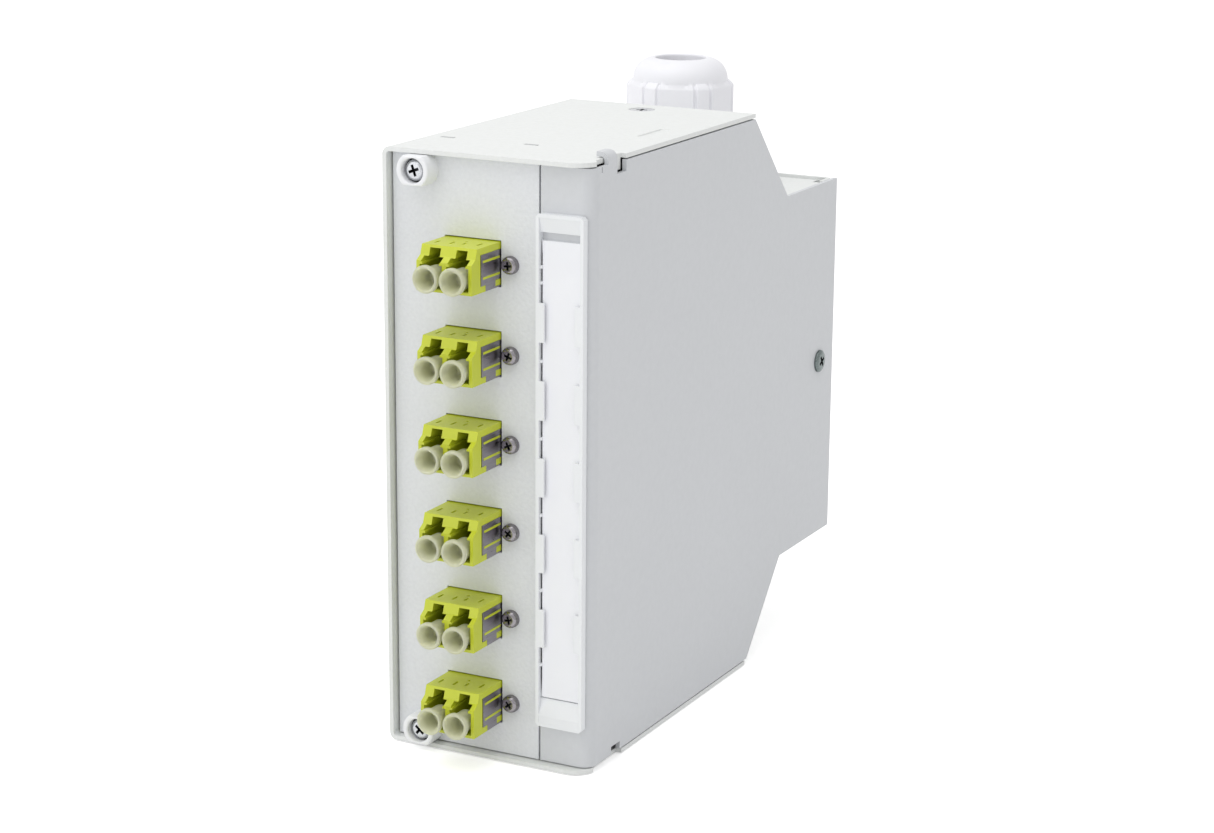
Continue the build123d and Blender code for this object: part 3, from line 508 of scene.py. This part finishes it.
rounded = [(math.sin(math.pi / 2 * i / 4), math.cos(math.pi / 2 * i / 4)) for i in range(5)]
for level, spin in (("upper", 20), ("lower", 50)):
    low, high = (corner * 1000 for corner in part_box(f"collar_sleeve_{level}"))
    stand = high.y - low.y
    line = [(0, sleeve["hole"] / 2), (0, sleeveOutline(0))]
    line += [(stand - sleeve["round"] * (1 - up), sleeveOutline(sleeve["round"] * (1 - out))) for up, out in rounded]
    line += [(stand - sleeve["round"] * (1 - up), sleeve["bore"] / 2 + sleeve["round"] * (1 - out))
             for up, out in reversed(rounded)]
    line += [(sleeve["floor"], sleeve["bore"] / 2), (sleeve["floor"], sleeve["hole"] / 2)]
    seat = ((low.x + high.x) / 2, high.y, (low.z + high.z) / 2)
    bm = bmesh.new()
    lathe(bm, line, seat, (0, -1, 0), steps=180, closed=True)
    collar = fromBmesh(f"collarSleeve{level.capitalize()}", bm, whiteAbs, "panel", smoothAngle=40)
    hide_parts(f"collar_sleeve_{level}")
    # a black ring fills the bore's floor between the screw's head and the wall, so that gap shows black
    ringOuter = sleeve["bore"] / 2 - sleeve["ringGap"]
    ringInner, ringTop = ringOuter - sleeve["ringWidth"], sleeve["floor"] + sleeve["ringHeight"]
    bm = bmesh.new()
    ringLine = [(sleeve["floor"], ringInner), (sleeve["floor"], ringOuter), (ringTop, ringOuter),
                (ringTop, ringInner)]
    lathe(bm, ringLine, seat, (0, -1, 0), steps=96, closed=True)
    fromBmesh(f"blackBoreRing{level.capitalize()}", bm, sealRubber, "panel")
    low, high = (corner * 1000 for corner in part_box(f"collar_screw_{level}"))
    centre = (low + high) / 2
    shankMm = high.y - low.y - captive["head"]
    line = [(-shankMm, 0), (-shankMm, captive["shank"]), (0, captive["shank"])]
    line += domed(captive["radius"], captive["head"], captive["rim"])[1:]
    crossScrew(f"collarScrew{level.capitalize()}",
               [((centre.x, low.y + captive["head"], centre.z), (0, -1, 0), spin)], nickelSteel, "panel",
               {**captive, "profile": line, "height": captive["head"]},
               replaced=(f"collar_screw_{level}",))

# the cover's screw has a lower head than its solid
low, high = (corner * 1000 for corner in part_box("cover_screw"))
coverHead = {"seat": 2.1, "height": 0.9, "radius": 2.7, "rim": 0.35, "shank": 1.5, "recess": 3.4, "slot": 0.85,
             "depth": 0.8}
shankMm = high.x - low.x - coverHead["seat"]
line = [(-shankMm, 0), (-shankMm, coverHead["shank"]), (0, coverHead["shank"])]
line += domed(coverHead["radius"], coverHead["height"], coverHead["rim"])[1:]
crossScrew("coverScrew",
           [((high.x - coverHead["seat"], (low.y + high.y) / 2, (low.z + high.z) / 2), (1, 0, 0), 30)],
           darkScrewSteel, "cover", {**coverHead, "profile": line}, replaced=("cover_screw",))

# countersunk screws that hold the rear plates, flush with the case
caseLow, caseHigh = (corner * 1000 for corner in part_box("chassis"))
sunk = {"x": -0.85, "behindFront": 73.5, "below": 0.1, "spin": 15, "radius": 2.92, "shank": 1.45, "cone": 1.4,
        "length": 3.0, "edge": (0.08, 0.05), "height": 0.0, "recess": 3.0, "slot": 0.8, "depth": 1.2}
sunkProfile = [(-sunk["length"], 0), (-sunk["length"], sunk["shank"]), (-sunk["cone"], sunk["shank"]),
               (-sunk["edge"][0], sunk["radius"]), (0.0, sunk["radius"] - sunk["edge"][1]), (0.0, 0)]
for name, seatZ, facing in (("upperSunkScrew", caseHigh.z, 1), ("lowerSunkScrew", caseLow.z, -1)):
    seat = (sunk["x"], caseLow.y + sunk["behindFront"], seatZ - facing * sunk["below"])
    crossScrew(name, [(seat, (0, 0, facing), sunk["spin"])], nickelSteel, "housing",
               {**sunk, "profile": sunkProfile})

# nuts of the adapter screws, on the flanges behind the front plate, with the screws' ends
flange = 1.6
nutProfile = [(0, 0), (0, 2.2), (0.15, 2.3), (1.45, 2.3), (1.6, 2.2), (1.6, 1.0), (2.4, 1.0), (2.4, 0)]
nuts = bmesh.new()
for z in adapterZs:
    for side in (-1, 1):
        lathe(nuts, nutProfile, (adapterX + side * flangePitch / 2, panelHigh.y + flange, z), (0, 1, 0), steps=6)
fromBmesh("adapterNuts", nuts, nickelSteel, "panel", smoothAngle=20)

# dust caps: a rolled rim and a mouth that narrows to the bore, as (distance behind the rim, radius)
capLine = [(5.6, 0), (5.6, 2.1), (5.45, 2.25), (1.2, 2.25), (1.1, 2.35), (1.1, 2.78), (0.98, 2.92), (0.3, 2.925),
           (0.1, 2.86), (0.0, 2.7), (0.0, 2.42), (0.1, 2.3), (0.7, 2.05), (1.3, 1.72), (1.7, 1.6), (4.1, 1.5),
           (4.4, 1.3), (4.4, 0)]
for number in range(1, 13):
    low, high = (corner * 1000 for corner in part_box(f"dust_cap_{number}"))
    bm = bmesh.new()
    lathe(bm, capLine, ((low.x + high.x) / 2, low.y, (low.z + high.z) / 2), (0, 1, 0))
    cap = fromBmesh(f"dustCap{number}", bm, capPolythene, f"cap_{number}", smoothAngle=40)
    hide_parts(f"dust_cap_{number}")
print("adapters, caps and screws made")

# gland nut: a hexagon with two grooves beside each corner, and a round dome with the cable's mouth
nutSize = {"flats": 24.0, "corners": 25.7, "turn": -8.5, "body": 14.9, "chamfer": 0.9, "grooveAngle": 21.0,
           "grooveWidth": 1.0, "grooveDepth": 0.55, "dome": 11.4, "domeRadius": 5.0, "mouth": 6.0, "mouthRadius": 0.5,
           "thread": 9.15, "chamber": 10.0, "footEdge": 0.3, "shoulder": (0.2, 0.1),
           "domeSteps": 12, "mouthSteps": 5}
nutLow, nutHigh = (corner * 1000 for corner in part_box("gland_nut"))


def nutOutline(inset, least=0.0):
    # radius of the hexagon with its grooves, for the lathe
    def reach(a):
        fromFlat = (math.degrees(a) - nutSize["turn"] + 30) % 60 - 30
        radius = min(nutSize["flats"] / 2 / math.cos(math.radians(fromFlat)), nutSize["corners"] / 2)
        away = math.radians(abs(abs(fromFlat) - nutSize["grooveAngle"])) * radius
        depth = nutSize["grooveDepth"] * max(0.0, min(1.0, 2.0 - 4 * away / nutSize["grooveWidth"]))
        return max(radius - depth - inset, least)
    return reach


nutHeight = nutHigh.z - nutLow.z
domeFoot = nutHeight - nutSize["domeRadius"]
domeMiddle = nutSize["dome"] - nutSize["domeRadius"]
chamferFoot = nutSize["body"] - nutSize["chamfer"]
nutLine = [(0, nutOutline(nutSize["footEdge"])), (nutSize["footEdge"], nutOutline(0)),
           (chamferFoot - nutSize["shoulder"][0], nutOutline(0)),
           (chamferFoot + nutSize["shoulder"][1], nutOutline(nutSize["shoulder"][1])),
           (nutSize["body"], nutOutline(nutSize["chamfer"], nutSize["dome"]))]
for i in range(nutSize["domeSteps"] + 1):
    a = math.pi / 2 * i / nutSize["domeSteps"]
    nutLine.append((domeFoot + nutSize["domeRadius"] * math.sin(a), domeMiddle + nutSize["domeRadius"] * math.cos(a)))
for i in range(1, nutSize["mouthSteps"] + 1):
    a = math.pi / 2 * i / nutSize["mouthSteps"]
    nutLine.append((nutHeight - nutSize["mouthRadius"] * (1 - math.cos(a)),
                    domeMiddle - (domeMiddle - nutSize["mouth"]) * math.sin(a)))
nutLine += [(nutSize["chamber"], nutSize["mouth"]), (nutSize["chamber"], nutSize["thread"]), (0, nutSize["thread"])]
nutFoot = ((nutLow.x + nutHigh.x) / 2, (nutLow.y + nutHigh.y) / 2, nutLow.z)
bm = bmesh.new()
lathe(bm, nutLine, nutFoot, (0, 0, 1), steps=720, closed=True)
glandNut = fromBmesh("glandNut", bm, glandNylon, "gland_nut", smoothAngle=40)
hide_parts("gland_nut")

# barrels that line up the ferrules, round the bores in the adapters' webs
barrel = {"pitch": 6.25, "drop": 1.7, "length": 6.3, "outer": 1.5, "bore": 0.66, "webFront": 0.2, "edge": 0.3}
edgeFoot = barrel["length"] - barrel["edge"]
barrelLine = [(0, barrel["bore"]), (0, barrel["outer"]), (edgeFoot, barrel["outer"]),
              (barrel["length"], barrel["outer"] - barrel["edge"]),
              (barrel["length"], barrel["bore"] + barrel["edge"]), (edgeFoot, barrel["bore"])]
bm = bmesh.new()
for z in adapterZs:
    for side in (-1, 1):
        lathe(bm, barrelLine, (adapterX + side * barrel["pitch"] / 2, panelHigh.y - barrel["webFront"],
                               z - barrel["drop"]), (0, -1, 0), steps=32, closed=True)
fromBmesh("sleeveBarrels", bm, limePbt, "panel")
print("gland nut and barrels made")

# floor and light; direct, mirrored and see-through views find a white ground, and the object is lit more softly
studio = {"floorSize": 6.0, "floorColour": "#f4f4f4", "floorRoughness": 0.9, "floorGlow": 0.45, "floorGap": 0.0002,
          "world": 0.72, "seenWorld": 1.0, "aim": (0, 0, 65)}


def seenStraight(tree):
    # 1 for camera, glossy and transmission rays, and 0 for the rays that light the object
    rays = addNode(tree, "ShaderNodeLightPath")
    seen = addNode(tree, "ShaderNodeMath", {0: rays.outputs["Is Camera Ray"], 1: rays.outputs["Is Glossy Ray"]},
                   operation="MAXIMUM")
    seen = addNode(tree, "ShaderNodeMath", {0: seen.outputs[0], 1: rays.outputs["Is Transmission Ray"]},
                   operation="MAXIMUM")
    return seen.outputs[0]


floorMesh = bpy.data.meshes.new("floor")
bm = bmesh.new()
bmesh.ops.create_grid(bm, x_segments=1, y_segments=1, size=studio["floorSize"] / 2)
bm.to_mesh(floorMesh)
bm.free()
floorPaper = bpy.data.materials.new("paperFloor")
floorPaper.use_nodes = True
tree = floorPaper.node_tree
shader = tree.nodes["Principled BSDF"]
shader.inputs["Base Color"].default_value = colour(studio["floorColour"])
shader.inputs["Roughness"].default_value = studio["floorRoughness"]
shader.inputs["Emission Color"].default_value = (1, 1, 1, 1)
glow = addNode(tree, "ShaderNodeMath", {0: seenStraight(tree), 1: studio["floorGlow"]}, operation="MULTIPLY")
tree.links.new(glow.outputs[0], shader.inputs["Emission Strength"])
floorMesh.materials.append(floorPaper)
floor = bpy.data.objects.new("floor", floorMesh)
scene.collection.objects.link(floor)
floor.location = (0, 0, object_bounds()[0].z - studio["floorGap"])

world = bpy.data.worlds.new("studio")
scene.world = world
world.use_nodes = True
tree = world.node_tree
strength = addNode(tree, "ShaderNodeMapRange",
                   {"Value": seenStraight(tree), "To Min": studio["world"], "To Max": studio["seenWorld"]})
background = tree.nodes["Background"]
background.inputs["Color"].default_value = (1, 1, 1, 1)
tree.links.new(strength.outputs["Result"], background.inputs["Strength"])

lamps = {
    "topSoftbox": {"place": (-150, -250, 900), "size": 900, "power": 3.2},
    "frontSoftbox": {"place": (-500, -900, 350), "size": 800, "power": 1.2},
}
for name, lamp in lamps.items():
    data = bpy.data.lights.new(name, "AREA")
    data.size = lamp["size"] / 1000
    data.energy = lamp["power"]
    obj = bpy.data.objects.new(name, data)
    obj.location = mm(*lamp["place"])
    aim = mm(*studio["aim"]) - obj.location
    obj.rotation_euler = aim.to_track_quat("-Z", "Y").to_euler()
    scene.collection.objects.link(obj)
print("studio made")
